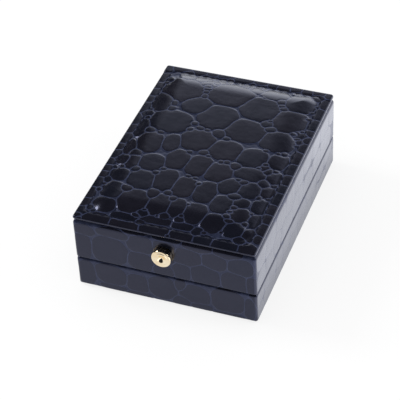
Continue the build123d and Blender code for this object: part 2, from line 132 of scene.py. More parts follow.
def setMark(piece, name, values):
    mark = piece.data.attributes.get(name) or piece.data.attributes.new(name, "FLOAT", "POINT")
    mark.data.foreach_set("value", np.asarray(values, np.float32))


def gridSheet(name, columns, rows):
    # a flat grid of quads, with each vertex's column and row
    clearSelection()
    bpy.ops.mesh.primitive_grid_add(x_subdivisions=columns, y_subdivisions=rows, size=1)
    sheet = named(name)
    co = points(sheet)
    column = np.rint((co[:, 0] + 0.5) * columns).astype(int)
    row = np.rint((co[:, 1] + 0.5) * rows).astype(int)
    return sheet, column, row


def smoothStep(low, high, value):
    t = np.clip((value - low) / (high - low), 0, 1)
    return t * t * (3 - 2 * t)


def finishPiece(piece, body, slot, material, *stoodFor):
    piece.data.materials.clear()
    piece.data.materials.append(material)
    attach(piece, body)
    if stoodFor:
        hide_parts(*stoodFor)


# camera

cameraSetup = {
    "place": (0.15766, -0.39528, 0.37368),
    "turn": (49.413, 2.538, 20.081),
    "lens": 141.16,
    "sensor": 36.0,
}
cameraData = bpy.data.cameras.new("camera")
cameraData.lens = cameraSetup["lens"]
cameraData.sensor_width = cameraSetup["sensor"]
cameraData.clip_start = 0.01
camera = bpy.data.objects.new("camera", cameraData)
camera.location = cameraSetup["place"]
camera.rotation_euler = [math.radians(angle) for angle in cameraSetup["turn"]]
bpy.context.scene.collection.objects.link(camera)
bpy.context.scene.camera = camera
bpy.context.scene.view_settings.view_transform = "Standard"
print("camera placed")


# node helpers

def addNode(tree, kind, **settings):
    node = tree.nodes.new(kind)
    for key, value in settings.items():
        setattr(node, key, value)
    return node


def feed(tree, node, socket, value):
    # value is a number, a colour or another node's output
    if isinstance(value, bpy.types.NodeSocket):
        tree.links.new(value, node.inputs[socket])
    elif isinstance(value, (tuple, list)) and node.inputs[socket].type == "RGBA" and len(value) == 3:
        node.inputs[socket].default_value = (*value, 1)
    else:
        node.inputs[socket].default_value = value


def maths(tree, operation, first, second=0.0, clamp=False):
    node = addNode(tree, "ShaderNodeMath", operation=operation, use_clamp=clamp)
    feed(tree, node, 0, first)
    feed(tree, node, 1, second)
    return node.outputs[0]


def times(tree, first, second):
    return maths(tree, "MULTIPLY", first, second)


def plus(tree, first, second, clamp=False):
    return maths(tree, "ADD", first, second, clamp)


def attributeOf(tree, name):
    return addNode(tree, "ShaderNodeAttribute", attribute_name=name).outputs["Fac"]


def stretched(tree, where, scale):
    node = addNode(tree, "ShaderNodeMapping")
    feed(tree, node, "Vector", where)
    feed(tree, node, "Scale", scale)
    return node.outputs[0]


def mixColour(tree, share, first, second):
    node = addNode(tree, "ShaderNodeMix", data_type="RGBA")
    feed(tree, node, 0, share)
    feed(tree, node, 6, first)
    feed(tree, node, 7, second)
    return node.outputs[2]


def rangeOf(tree, value, fromLow, fromHigh, toLow, toHigh, kind="SMOOTHSTEP"):
    node = addNode(tree, "ShaderNodeMapRange", interpolation_type=kind)
    for socket, number in zip(range(5), (value, fromLow, fromHigh, toLow, toHigh)):
        feed(tree, node, socket, number)
    return node.outputs[0]


def noise(tree, where, scale, detail=3.0, rough=0.55):
    node = addNode(tree, "ShaderNodeTexNoise")
    feed(tree, node, "Vector", where)
    feed(tree, node, "Scale", scale)
    feed(tree, node, "Detail", detail)
    feed(tree, node, "Roughness", rough)
    return node.outputs["Fac"]


def bump(tree, height, strength, distance, under=None):
    node = addNode(tree, "ShaderNodeBump")
    feed(tree, node, "Height", height)
    feed(tree, node, "Strength", strength)
    feed(tree, node, "Distance", distance)
    if under is not None:
        feed(tree, node, "Normal", under)
    return node.outputs["Normal"]


def newMaterial(name, **values):
    material = bpy.data.materials.new(name)
    material.use_nodes = True
    tree = material.node_tree
    shader = tree.nodes["Principled BSDF"]
    for socket, value in values.items():
        feed(tree, shader, socket.replace("_", " "), value)
    where = addNode(tree, "ShaderNodeTexCoord").outputs["Object"]
    return material, tree, shader, where


def newGroup(name, inputs, outputs):
    group = bpy.data.node_groups.new(name, "ShaderNodeTree")
    for label, kind, value in inputs:
        socket = group.interface.new_socket(label, in_out="INPUT", socket_type=kind)
        if value is not None:
            socket.default_value = value
    for label, kind in outputs:
        group.interface.new_socket(label, in_out="OUTPUT", socket_type=kind)
    return group, group.nodes.new("NodeGroupInput").outputs, group.nodes.new("NodeGroupOutput")


def placeGroup(tree, group, **values):
    node = addNode(tree, "ShaderNodeGroup", node_tree=group)
    for socket, value in values.items():
        feed(tree, node, socket, value)
    return node.outputs


floatKind, colourKind, vectorKind = "NodeSocketFloat", "NodeSocketColor", "NodeSocketVector"

# shared effects: uneven tone with specks of dust, fine grain, and woven threads

unevenTone, given, made = newGroup(
    "unevenTone",
    [("Where", vectorKind, None), ("Scale", floatKind, 60.0), ("Dark", colourKind, (0, 0, 0, 1)),
     ("Light", colourKind, (1, 1, 1, 1)), ("Dust", floatKind, 0.1)],
    [("Colour", colourKind), ("Patches", floatKind)],
)
patches = noise(unevenTone, given["Where"], given["Scale"], 4.0, 0.6)
patches = rangeOf(unevenTone, patches, 0.3, 0.7, 0.0, 1.0)
fine = noise(unevenTone, given["Where"], times(unevenTone, given["Scale"], 24.0), 2.0, 0.5)
specks = rangeOf(unevenTone, fine, 0.68, 0.74, 0.0, 1.0)
tone = mixColour(unevenTone, patches, given["Dark"], given["Light"])
dusted = mixColour(unevenTone, times(unevenTone, specks, given["Dust"]), tone, (0.5, 0.5, 0.48, 1))
unevenTone.links.new(dusted, made.inputs["Colour"])
unevenTone.links.new(patches, made.inputs["Patches"])

fineGrain, given, made = newGroup(
    "fineGrain",
    [("Where", vectorKind, None), ("Scale", floatKind, 2000.0), ("Depth", floatKind, 1.0)],
    [("Height", floatKind)],
)
pebbles = addNode(fineGrain, "ShaderNodeTexVoronoi", feature="SMOOTH_F1")
feed(fineGrain, pebbles, "Vector", given["Where"])
feed(fineGrain, pebbles, "Scale", given["Scale"])
pits = noise(fineGrain, given["Where"], times(fineGrain, given["Scale"], 0.4), 3.0, 0.6)
grainHeight = plus(fineGrain, times(fineGrain, pebbles.outputs["Distance"], 0.6), pits)
fineGrain.links.new(times(fineGrain, grainHeight, given["Depth"]), made.inputs["Height"])

threads, given, made = newGroup(
    "threads",
    [("Where", vectorKind, None), ("Pitch", floatKind, 3000.0), ("Across", floatKind, 1.0)],
    [("Height", floatKind), ("Gaps", floatKind)],
)
turned = addNode(threads, "ShaderNodeMapping")
feed(threads, turned, "Vector", given["Where"])
warps = addNode(threads, "ShaderNodeTexWave", bands_direction="X")
wefts = addNode(threads, "ShaderNodeTexWave", bands_direction="Y")
for wave in (warps, wefts):
    feed(threads, wave, "Vector", turned.outputs[0])
    feed(threads, wave, "Scale", given["Pitch"])
    feed(threads, wave, "Distortion", 0.6)
    feed(threads, wave, "Detail", 1.0)
weave = plus(threads, warps.outputs["Fac"], times(threads, wefts.outputs["Fac"], given["Across"]))
threads.links.new(weave, made.inputs["Height"])
threads.links.new(rangeOf(threads, weave, 0.2, 0.8, 1.0, 0.0), made.inputs["Gaps"])
print("shared effects ready")


def toned(tree, where, scale, dark, light, dust):
    return placeGroup(tree, unevenTone, Where=where, Scale=scale, Dark=dark, Light=light, Dust=dust)


# materials

def leatheretteMaterial():
    look = {
        "scale": (0.0042, 0.0050, 0.0088),
        "scaleAlt": (0.0062, 0.0068, 0.0120),
        "otherLot": (0.0110, 0.0085, 0.0110),
        "floor": (0.0050, 0.0075, 0.0200),
        "floorAlt": (0.0190, 0.0240, 0.0500),
        # rim and rimAlt are painted highlight: a lighter lavender for the light that the scales' rounded rims catch
        "rim": (0.0320, 0.0395, 0.0800),
        "rimAlt": (0.0165, 0.0210, 0.0460),
    }
    material, tree, shader, where = newMaterial("leatherette", IOR=1.53, Specular_Tint=(0.62, 0.66, 1.0))
    edge = attributeOf(tree, "scaleEdge")
    lot = attributeOf(tree, "scaleLot")
    tone = toned(tree, where, 160.0, look["scale"], look["scaleAlt"], 0.02)
    depths = toned(tree, where, 620.0, look["floor"], look["floorAlt"], 0.10)
    # painted highlight along the scales' rims, standing in for light caught by their rounded edges
    paintedRimHighlight = toned(tree, where, 330.0, look["rimAlt"], look["rim"], 0.05)
    grain = placeGroup(tree, fineGrain, Where=where, Scale=2600.0, Depth=1.0)
    lines = attributeOf(tree, "lineShare")
    inFloor = times(tree, rangeOf(tree, edge, 0.06, -0.14, 0.0, 1.0), lines)
    onRim = rangeOf(tree, maths(tree, "ABSOLUTE", maths(tree, "SUBTRACT", edge, 0.05)), 0.03, 0.17, 1.0, 0.0)
    onRim = times(tree, onRim, lines)
    scaleColour = mixColour(tree, times(tree, lot, 0.35), tone["Colour"], look["otherLot"])
    colour = mixColour(tree, inFloor, scaleColour, depths["Colour"])
    # the rims take the painted highlight colour
    colour = mixColour(tree, times(tree, onRim, 0.85), colour, paintedRimHighlight["Colour"])
    feed(tree, shader, "Base Color", colour)
    gloss = rangeOf(tree, tone["Patches"], 0.0, 1.0, 0.16, 0.22, "LINEAR")
    dulled = plus(tree, times(tree, inFloor, 0.16), times(tree, onRim, 0.10))
    feed(tree, shader, "Roughness", plus(tree, gloss, dulled))
    step = rangeOf(tree, edge, -0.12, 0.20, 0.0, 1.0)
    skin = bump(tree, step, 0.20, 0.00010)
    waves = noise(tree, where, 420.0, 3.0, 0.5)
    skin = bump(tree, waves, 0.14, 0.0003, skin)
    rough = times(tree, grain["Height"], plus(tree, times(tree, inFloor, 0.8), 0.2))
    feed(tree, shader, "Normal", bump(tree, rough, 0.3, 0.00008, skin))
    return material


def goldMaterial(name="paleGold", rough=0.07, dark=(0.92, 0.73, 0.45), light=(0.98, 0.85, 0.60)):
    material, tree, shader, where = newMaterial(name, Metallic=1.0)
    tone = toned(tree, where, 240.0, dark, light, 0.06)
    feed(tree, shader, "Base Color", tone["Colour"])
    feed(tree, shader, "Roughness", rangeOf(tree, tone["Patches"], 0, 1, rough, rough + 0.07, "LINEAR"))
    scratches = noise(tree, where, 3500.0, 2.0, 0.6)
    feed(tree, shader, "Normal", bump(tree, scratches, 0.08, 0.00004))
    return material


def steelMaterial():
    material, tree, shader, where = newMaterial("springSteel", Metallic=1.0)
    tone = toned(tree, where, 300.0, (0.40, 0.40, 0.42), (0.56, 0.56, 0.58), 0.1)
    feed(tree, shader, "Base Color", tone["Colour"])
    stretch = stretched(tree, where, (6.0, 1.0, 0.4))
    lines = noise(tree, stretch, 1800.0, 2.0, 0.6)
    feed(tree, shader, "Roughness", rangeOf(tree, lines, 0.3, 0.7, 0.22, 0.38, "LINEAR"))
    feed(tree, shader, "Normal", bump(tree, lines, 0.15, 0.00005))
    return material


def plasticMaterial(name, dark, light, rough):
    material, tree, shader, where = newMaterial(name, IOR=1.48)
    tone = toned(tree, where, 90.0, dark, light, 0.1)
    grain = placeGroup(tree, fineGrain, Where=where, Scale=1500.0, Depth=1.0)
    feed(tree, shader, "Base Color", tone["Colour"])
    feed(tree, shader, "Roughness", rangeOf(tree, tone["Patches"], 0, 1, rough, rough + 0.1, "LINEAR"))
    feed(tree, shader, "Normal", bump(tree, grain["Height"], 0.3, 0.0001))
    return material


def velvetMaterial(name, dark, light, pile=1800.0):
    material, tree, shader, where = newMaterial(
        name, Sheen_Weight=0.9, Sheen_Roughness=0.35, Sheen_Tint=(0.55, 0.6, 0.95), Roughness=0.9
    )
    tone = toned(tree, where, 110.0, dark, light, 0.18)
    brushed = stretched(tree, where, (1.0, 0.45, 1.0))
    tufts = noise(tree, brushed, pile, 3.0, 0.7)
    lay = noise(tree, where, 260.0, 2.0, 0.5)
    colour = mixColour(tree, rangeOf(tree, tufts, 0.35, 0.65, 0.0, 1.0), tone["Colour"], light)
    colour = mixColour(tree, rangeOf(tree, lay, 0.35, 0.7, 0.0, 0.55), colour, dark)
    feed(tree, shader, "Base Color", colour)
    feed(tree, shader, "Normal", bump(tree, tufts, 0.7, 0.00025, bump(tree, lay, 0.3, 0.0005)))
    return material


def satinMaterial():
    material, tree, shader, where = newMaterial(
        "satinLining", Sheen_Weight=0.25, Sheen_Roughness=0.3, Anisotropic=0.5, IOR=1.5
    )
    tone = toned(tree, where, 70.0, (0.69, 0.65, 0.57), (0.77, 0.73, 0.65), 0.03)
    woven = placeGroup(tree, threads, Where=where, Pitch=1100.0, Across=0.35)
    # painted shade: the gaps between the woven threads are darker
    colour = mixColour(tree, times(tree, woven["Gaps"], 0.25), tone["Colour"], (0.48, 0.44, 0.36, 1))
    feed(tree, shader, "Base Color", colour)
    feed(tree, shader, "Roughness", rangeOf(tree, tone["Patches"], 0, 1, 0.33, 0.42, "LINEAR"))
    feed(tree, shader, "Normal", bump(tree, woven["Height"], 0.25, 0.00006))
    return material


def foamMaterial():
    material, tree, shader, where = newMaterial("openFoam", Roughness=0.95)
    cells = addNode(tree, "ShaderNodeTexVoronoi")
    feed(tree, cells, "Vector", where)
    feed(tree, cells, "Scale", 1700.0)
    tone = toned(tree, where, 80.0, (0.60, 0.58, 0.50), (0.76, 0.75, 0.68), 0.05)
    # painted shade: the foam's pores are darkened where they sink in
    pores = rangeOf(tree, cells.outputs["Distance"], 0.1, 0.45, 0.0, 1.0)
    feed(tree, shader, "Base Color", mixColour(tree, pores, (0.30, 0.28, 0.22, 1), tone["Colour"]))
    feed(tree, shader, "Normal", bump(tree, pores, 0.8, 0.0003))
    return material


def cardMaterial():
    material, tree, shader, where = newMaterial("greyCard", Roughness=0.85)
    tone = toned(tree, where, 140.0, (0.40, 0.37, 0.32), (0.52, 0.49, 0.44), 0.3)
    fibres = stretched(tree, where, (1.0, 5.0, 1.0))
    strands = noise(tree, fibres, 700.0, 4.0, 0.7)
    feed(tree, shader, "Base Color", mixColour(
        tree, rangeOf(tree, strands, 0.4, 0.65, 0.0, 0.5), tone["Colour"], (0.33, 0.30, 0.25, 1)
    ))
    feed(tree, shader, "Normal", bump(tree, strands, 0.4, 0.0001))
    return material


def threadMaterial():
    material, tree, shader, where = newMaterial("stitchThread", Specular_IOR_Level=0.08)
    ply = attributeOf(tree, "ply")
    tone = toned(tree, where, 900.0, (0.003, 0.004, 0.012), (0.009, 0.012, 0.034), 0.05)
    # painted shade: the grooves between the thread's plies are darker
    feed(tree, shader, "Base Color", mixColour(tree, ply, tone["Colour"], (0.004, 0.005, 0.012, 1)))
    feed(tree, shader, "Roughness", rangeOf(tree, tone["Patches"], 0, 1, 0.65, 0.8, "LINEAR"))
    fibres = noise(tree, where, 9000.0, 2.0, 0.5)
    feed(tree, shader, "Normal", bump(tree, fibres, 0.35, 0.00004))
    return material


leatherette = leatheretteMaterial()
paleGold = goldMaterial()
platedGold = goldMaterial("platedGold", 0.16, (0.66, 0.50, 0.26), (0.80, 0.66, 0.40))
springSteel = steelMaterial()
shellPlastic = plasticMaterial("shellPlastic", (0.018, 0.018, 0.020), (0.030, 0.030, 0.034), 0.45)
plungerPlastic = plasticMaterial("plungerPlastic", (0.040, 0.040, 0.042), (0.060, 0.060, 0.062), 0.4)
nightVelvet = velvetMaterial("nightVelvet", (0.006, 0.007, 0.020), (0.022, 0.026, 0.062))
velourPaper = velvetMaterial("velourPaper", (0.008, 0.008, 0.016), (0.020, 0.020, 0.034), 2600.0)
satinLining = satinMaterial()
openFoam = foamMaterial()
greyCard = cardMaterial()
stitchThread = threadMaterial()
print("materials ready")

for material, nodeNames in (
    (shellPlastic, ("base_tray", "lid_shell")),
    (nightVelvet, ("collar",)),
    (velourPaper, ("underside_sheet",)),
    (satinLining, ("lid_liner",)),
    (greyCard, ("pad_card", "panel_board", "lid_spacer", "lid_pad_card")),
    (platedGold, ("strike_plate", "strike_rivets", "hinge_base_leaf", "hinge_base_rivets", "hinge_lid_leaf",
                  "hinge_lid_rivets", "button_bushing", "latch_rivets")),
    (paleGold, ("button_cap",)),
    (springSteel, ("hinge_pin", "latch_spring")),
    (plungerPlastic, ("button_plunger",)),
    (leatherette, ("base_cover", "lid_cover", "panel_cover")),
    (openFoam, ("foam_block", "panel_foam")),
    (nightVelvet, ("earring_pad",)),
    (satinLining, ("lid_pad",)),
):
    for nodeName in nodeNames:
        nodes[nodeName].data.materials.append(material)


# leatherette relief

film = {
    "gap": 0.28,  # between close neighbours
    "slack": 0.46,  # how far a scale may spread past its measured outline
    "depth": 0.13,
    "puff": 0.055,  # how far a scale stands up from its rim
    "puffReach": 0.85,
    "wander": 0.34,
    "squareness": 2.25,
    "blend": 0.22,
}


def softNoise(x, y, size, seed):
    # smooth random swell between -1 and 1
    u, v = x / size, y / size
    iu, iv = np.floor(u), np.floor(v)
    fu, fv = u - iu, v - iv
    fu, fv = fu * fu * (3 - 2 * fu), fv * fv * (3 - 2 * fv)

    def corner(a, b):
        n = np.sin((iu + a) * 127.1 + (iv + b) * 311.7 + seed * 74.7) * 43758.5453
        return (n - np.floor(n)) * 2 - 1
    low = corner(0, 0) * (1 - fu) + corner(1, 0) * fu
    high = corner(0, 1) * (1 - fu) + corner(1, 1) * fu
    return low * (1 - fv) + high * fv


def nearestScales(x, y, scales, count=4):
    # each place's nearest scales, in scale sizes and in millimetres for one size
    cells = np.array(scales)
    dx = x[:, None] - cells[None, :, 0]
    dy = y[:, None] - cells[None, :, 1]
    p = film["squareness"]
    size = (np.abs(dx / (cells[:, 2] / 2)) ** p + np.abs(dy / (cells[:, 3] / 2)) ** p) ** (1 / p)
    order = np.argsort(size, axis=1)[:, :count]
    near = np.take_along_axis(size, order, 1)
    reach = np.take_along_axis(np.hypot(dx, dy), order, 1) / np.maximum(near, 1e-6)
    return order, near, np.maximum(reach, 0.3)


def edgeDistance(near, reach, other):
    a, b = reach[:, 0], reach[:, other]
    return (near[:, other] - near[:, 0]) * a * b / (a + b)


def junctionKnots(scales, low, high, seed):
    # tiny scales that fill some of the corners where three scales meet
    xs, ys = np.meshgrid(np.arange(low[0], high[0], 0.4), np.arange(low[1], high[1], 0.4))
    x, y = xs.ravel(), ys.ravel()
    order, near, reach = nearestScales(x, y, scales, 3)
    room = (near[:, 0] - 1) * reach[:, 0]
    draw = random.Random(seed)
    knots = []
    for at in np.argsort(-room):
        if room[at] < 0.56:
            break
        if all(math.hypot(x[at] - k[0], y[at] - k[1]) > 1.9 for k in knots):
            size = 2 * room[at] + draw.uniform(0.2, 0.7)
            knots.append((x[at], y[at], size * draw.uniform(0.9, 1.3), size * draw.uniform(0.8, 1.1)))
    return [knot for knot in knots if draw.random() < 0.5]


def pressedScales(x, y, scales, seed, press=film):
    # height of the film, distance inside a scale's outline, both in millimetres, and each scale's own shade
    swing = press["wander"]
    wx = x + swing * softNoise(x, y, 6.5, seed) + 0.10 * softNoise(x, y, 1.7, seed + 1)
    wy = y + swing * softNoise(x, y, 6.5, seed + 2) + 0.10 * softNoise(x, y, 1.7, seed + 3)
    order, near, reach = nearestScales(wx, wy, scales)
    own = (1 - near[:, 0]) * reach[:, 0] + press["slack"]
    shared = edgeDistance(near, reach, 1) - press["gap"] / 2
    k = press["blend"]
    edge = -k * np.log(np.exp(-np.clip(own, -3, 6) / k) + np.exp(-np.clip(shared, -3, 6) / k)) + 0.08
    cells = np.array(scales)
    tiny = np.minimum(cells[order[:, 0], 2], cells[order[:, 0], 3]) < 3.0
    puffed = 1 - np.exp(-np.maximum(edge, 0) / press["puffReach"])
    sunk = 1 - smoothStep(-0.30, 0.12, edge)
    folds = softNoise(wx, wy, 0.9, seed + 5) * smoothStep(0.0, 0.4, -edge)
    lean = (np.sin(order[:, 0] * 3.7 + seed) * (wx - cells[order[:, 0], 0])
            + np.cos(order[:, 0] * 5.3 + seed) * (wy - cells[order[:, 0], 1])) * 0.003
    height = press["puff"] * (puffed - 1) * np.where(tiny, 0.8, 1.0) - press["depth"] * sunk + 0.05 * folds
    height += lean * puffed
    lot = np.sin(order[:, 0] * 12.9898 + seed) * 43758.5453
    return height, edge, lot - np.floor(lot)


def sownScales(length, low, high, width, height, seed):
    # scattered scales for a strip nobody has laid out by hand
    draw = random.Random(seed)
    rows = max(1, round((high - low) / height))
    step = (high - low) / rows
    out = []
    for row in range(rows):
        x = draw.uniform(-0.5, 0.2) * width
        while x < length + width:
            w = width * draw.uniform(0.72, 1.25)
            out.append((x + w / 2, low + step * (row + 0.5) + draw.uniform(-0.22, 0.22) * step,
                        w * 1.08, step * draw.uniform(0.9, 1.2)))
            x += w
    return out


# the walls' scales are larger and lie closer
wallFilm = {**film, "gap": 0.20, "slack": 0.95, "wander": 0.45}

# layout of the scales, as centre and size in millimetres from the panel's or the wall's left corner

panelScales = [
    (11.6, 76.1, 15.4, 14), (29.4, 77.9, 17, 13), (41.9, 72.9, 14.5, 13), (55.1, 80, 11, 11),
    (44.4, 82.9, 10, 6), (54.4, 69.3, 12.5, 12.5), (6.6, 67.5, 7.5, 11), (19.4, 68.9, 10.5, 10),
    (29.2, 63.9, 14.5, 13.5), (13.7, 57.5, 15.5, 12.5), (40.9, 59.6, 15, 12), (53.7, 57.1, 13, 11),
    (5.0, 51.4, 4.5, 11), (10.9, 43.9, 8.8, 11.5), (18.5, 46.2, 6.2, 9.5), (26.6, 50, 12, 11.5),
    (37.9, 47.4, 11.5, 10.5), (48, 46.1, 10.5, 10), (57.6, 46.6, 7.5, 8.5), (5, 39.6, 4.5, 8.5),
    (23.6, 37.9, 8.3, 10.5), (31.9, 36.8, 9, 11), (39.3, 35.4, 9.5, 10), (50.1, 37.5, 11.2, 7.2),
    (59, 37.9, 6, 6), (15.7, 33.9, 9, 8.5), (9.1, 32.5, 4.8, 7.5), (45.3, 29.5, 7.5, 7.5),
    (53.1, 29.3, 7.7, 7.8), (59.4, 30.4, 5.5, 6), (7.3, 24.8, 6.5, 7), (15.5, 24.3, 9.3, 9.5),
    (23.7, 26.4, 7.6, 11.4), (31.2, 24.6, 7.8, 11), (38.9, 24.3, 7.5, 11), (46.2, 20, 7.2, 9.3),
    (52.4, 22.7, 5.4, 4.6), (59, 22.5, 5.5, 7.8), (8.1, 16.4, 7.5, 8.5), (16.9, 13, 10, 12.5),
    (25.9, 13.7, 7.2, 11), (32.4, 13.7, 5.5, 9.5), (39.2, 13.2, 7.5, 10.5), (46.6, 10, 7.2, 9.3),
    (53.7, 16.4, 6.5, 7), (59.8, 15, 5, 7), (8.4, 8.2, 8, 7.5), (54.1, 8.9, 7, 7.2), (60.1, 7.9, 5, 6),
    (17.3, 4.3, 9.5, 4.5), (28, 5.7, 11, 4), (37.3, 5.7, 8, 4), (8.0, 1.4, 10, 5), (18.2, 1.2, 10.4, 5),
    (28.9, 1.4, 11, 5), (38.7, 1.4, 8.6, 5), (46.2, 1.6, 6.4, 5), (53.7, 1.4, 8.6, 5), (61.4, 1.6, 6.8, 5),
]
frontLidScales = [
    (2.75, 18.4, 6, 11), (13, 18.9, 12.5, 11.5), (4, 25.9, 7, 4), (14.5, 26.9, 11, 3.5),
    (24.75, 24.4, 8.5, 7), (24, 16.9, 8.5, 7), (32.5, 14.9, 7, 4), (33, 23.5, 8, 9), (41, 22.9, 9.5, 6.5),
    (39, 16.4, 6, 6.5), (50.25, 23.9, 8, 6), (59.5, 23.9, 8, 6.5), (47.25, 16.7, 9.5, 8),
    (57.5, 16.7, 8.5, 8), (63.5, 16.5, 4.5, 7), (34, 29.6, 9, 3), (44.5, 28.9, 9, 4), (55, 29.2, 9, 4),
    (22.5, 30.2, 8, 3),
]
frontBaseScales = [
    (3, 6.4, 6, 10), (12.25, 7.7, 11, 8), (22.25, 6.4, 8, 7), (31.5, 6.9, 10, 8.5), (38.5, 2.4, 6, 4),
    (38, 9.6, 4, 5), (43, 6.9, 10, 8), (54.75, 7.4, 11, 9), (63, 6.4, 4.5, 10), (13, 1.9, 9, 2.5),
    (45.3, 2, 7, 3), (22, 1.0, 8, 3), (55, 0.8, 9, 3),
]

# the flat stitched border's small irregular scales, down both sides and along the back
for side, along in ((1.4, 90.0), (63.3, 90.0)):
    y = 5.5
    while y < along:
        step = random.uniform(3.4, 7.2)
        panelScales.append((side + random.uniform(-0.5, 0.5), y + step / 2, 4.6, step * 1.1))
        y += step
x = 3.0
while x < 62.0:
    step = random.uniform(4.0, 8.0)
    panelScales.append((x + step / 2, 88.2 + random.uniform(-0.6, 0.6), step * 1.1, 4.4))
    x += step

# the panel: one sheet over its padding, over the edge, down the side and in below

panelSetup = {
    "width": 64.7,
    "depth": 89.7,
    "low": 29.5,
    "level": 31.4,
    "corner": 1.0,
    "edge": 0.68,
    "lowEdge": 0.98,
    "padMargin": 4.2,
    "padRise": 2.0,
    "padReach": 9.0,
    "padCurve": 2.2,
    "padCorner": 5.0,
    "stitchSink": 0.13,
    "slopeRelief": 1.5,  # how much deeper the relief gets on the padding's slopes
    "borderFall": 0.42,
    "lean": (0.89, -2.16),  # the padding carries the scales this far from where they were measured
    "spacing": 0.29,
    "turnIn": 5.0,
}
stitchSetup = {
    "inset": 3.3,
    "corner": 2.2,
    "count": 94,
    "length": 2.35,
    "thickness": 0.46,
    "arch": 0.16,
    "sink": 0.20,
    "stand": 0.08,
}


def roundedInset(x, y, halfWidth, halfDepth, corner):
    # distance inside a rounded rectangle's edge, negative outside it
    qx = np.abs(x) - (halfWidth - corner)
    qy = np.abs(y) - (halfDepth - corner)
    outside = np.hypot(np.maximum(qx, 0), np.maximum(qy, 0)) + np.minimum(np.maximum(qx, qy), 0)
    return corner - outside


def edgeProfile(corner, edge, side, turnIn, spacing, lowEdge):
    # how far out and how far down the sheet is at each step beyond the corner's centre
    out, down, run = [0.0], [0.0], [0.0]

    def go(toOut, toDown, steps):
        fromOut, fromDown, at = out[-1], down[-1], run[-1]
        length = math.hypot(toOut - fromOut, toDown - fromDown)
        for k in range(1, steps + 1):
            out.append(fromOut + (toOut - fromOut) * k / steps)
            down.append(fromDown + (toDown - fromDown) * k / steps)
            run.append(at + length * k / steps)

    def bend(centreOut, centreDown, edge, startAngle, steps):
        at = run[-1]
        for k in range(1, steps + 1):
            angle = math.radians(startAngle - 90 * k / steps)
            out.append(centreOut + edge * math.cos(angle))
            down.append(centreDown - edge * math.sin(angle))
            run.append(at + math.pi / 2 * edge * k / steps)
    go(corner - edge, 0.0, max(1, round((corner - edge) / spacing)))
    bend(corner - edge, edge, edge, 90, 5)
    go(corner, side - lowEdge, max(1, round((side - edge - lowEdge) / spacing)))
    bend(corner - lowEdge, side - lowEdge, lowEdge, 0, 5)
    go(corner - turnIn, side, 3)
    return np.array(out), np.array(down), np.array(run)


def wrappedTop(name, width, depth, corner, edge, side, turnIn, spacing, lowEdge=None):
    out, down, run = edgeProfile(corner, edge, side, turnIn, spacing, lowEdge or edge)
    ax, ay = width / 2 - corner, depth / 2 - corner
    across = np.linspace(-ax, ax, max(2, round(2 * ax / spacing)) + 1)
    along = np.linspace(-ay, ay, max(2, round(2 * ay / spacing)) + 1)
    xs = np.concatenate([-ax - run[:0:-1], across, ax + run[1:]])
    ys = np.concatenate([-ay - run[:0:-1], along, ay + run[1:]])
    sheet, column, row = gridSheet(name, len(xs) - 1, len(ys) - 1)
    u, v = xs[column], ys[row]
    cx, cy = np.clip(u, -ax, ax), np.clip(v, -ay, ay)
    ox, oy = u - cx, v - cy
    t = np.maximum(np.abs(ox), np.abs(oy))
    length = np.maximum(np.hypot(ox, oy), 1e-9)
    far = np.interp(t, run, out)
    x, y = cx + ox / length * far, cy + oy / length * far
    return sheet, u, v, x, y, np.interp(t, run, down), t


setup = panelSetup
panelCover, u, v, x, y, down, beyond = wrappedTop(
    "panelCover", setup["width"], setup["depth"], setup["corner"], setup["edge"],
    setup["level"] - setup["low"], setup["turnIn"], setup["spacing"], setup["lowEdge"],
)
inset = roundedInset(
    x, y, setup["width"] / 2 - setup["padMargin"], setup["depth"] / 2 - setup["padMargin"], setup["padCorner"]
)
rise = 1 - (1 - np.clip(inset / setup["padReach"], 0, 1)) ** setup["padCurve"]
z = setup["level"] - down + setup["padRise"] * rise
stitchRun = roundedInset(
    x, y, setup["width"] / 2 - stitchSetup["inset"], setup["depth"] / 2 - stitchSetup["inset"],
    stitchSetup["corner"],
)
onTop = beyond < setup["corner"] - setup["edge"] + 0.3
channel = np.exp(-(stitchRun / 0.55) ** 2) * onTop
fromEdge = roundedInset(x, y, setup["width"] / 2, setup["depth"] / 2, setup["corner"])
fall = setup["borderFall"] * (1 - np.clip(fromEdge / 3.1, 0, 1)) * (y < setup["depth"] / 2 - 4.0)
z -= fall * (1 - down / (setup["level"] - setup["low"]))
setPoints(panelCover, np.column_stack([x, y, z]) * mm)
turnFacesOut(panelCover, (0.0, 0.0, 0.034), (0, 0, 1))
allScales = panelScales + junctionKnots(panelScales, (0, 0), (setup["width"], setup["depth"]), 3)
height, edge, lot = pressedScales(
    u + setup["width"] / 2 - setup["lean"][0] * rise,
    v + setup["depth"] / 2 - setup["lean"][1] * rise,
    allScales, 11,
)
hidden = smoothStep(2.2, 2.8, beyond)
border = 0.55 + 0.45 * smoothStep(-1.0, 1.5, inset)
border *= 1 + setup["slopeRelief"] * smoothStep(0.05, 0.6, 1 - rise) * smoothStep(-0.3, 1.2, inset)
height = height * border * (1 - 0.35 * channel) * (1 - hidden) - setup["stitchSink"] * channel
height = height * (1 - 0.85 * smoothStep(0.0, 0.9, beyond))
co = points(panelCover)
co += normals(panelCover) * (height * mm)[:, None]
setPoints(panelCover, co)
setMark(panelCover, "scaleEdge", edge)
setMark(panelCover, "scaleLot", lot)
setMark(panelCover, "lineShare", 1 - 0.75 * smoothStep(0.4, 1.3, beyond))
closeSeams(panelCover)
turnFacesOut(panelCover, (0.0, 0.0, 0.034), (0, 0, 1))
smooth(panelCover, 80)
finishPiece(panelCover, "lid", "leatherette", leatherette, "panel_cover")
print("panel cover:", len(panelCover.data.polygons), "quads")


# walls of the lid and the base: one band swept round each

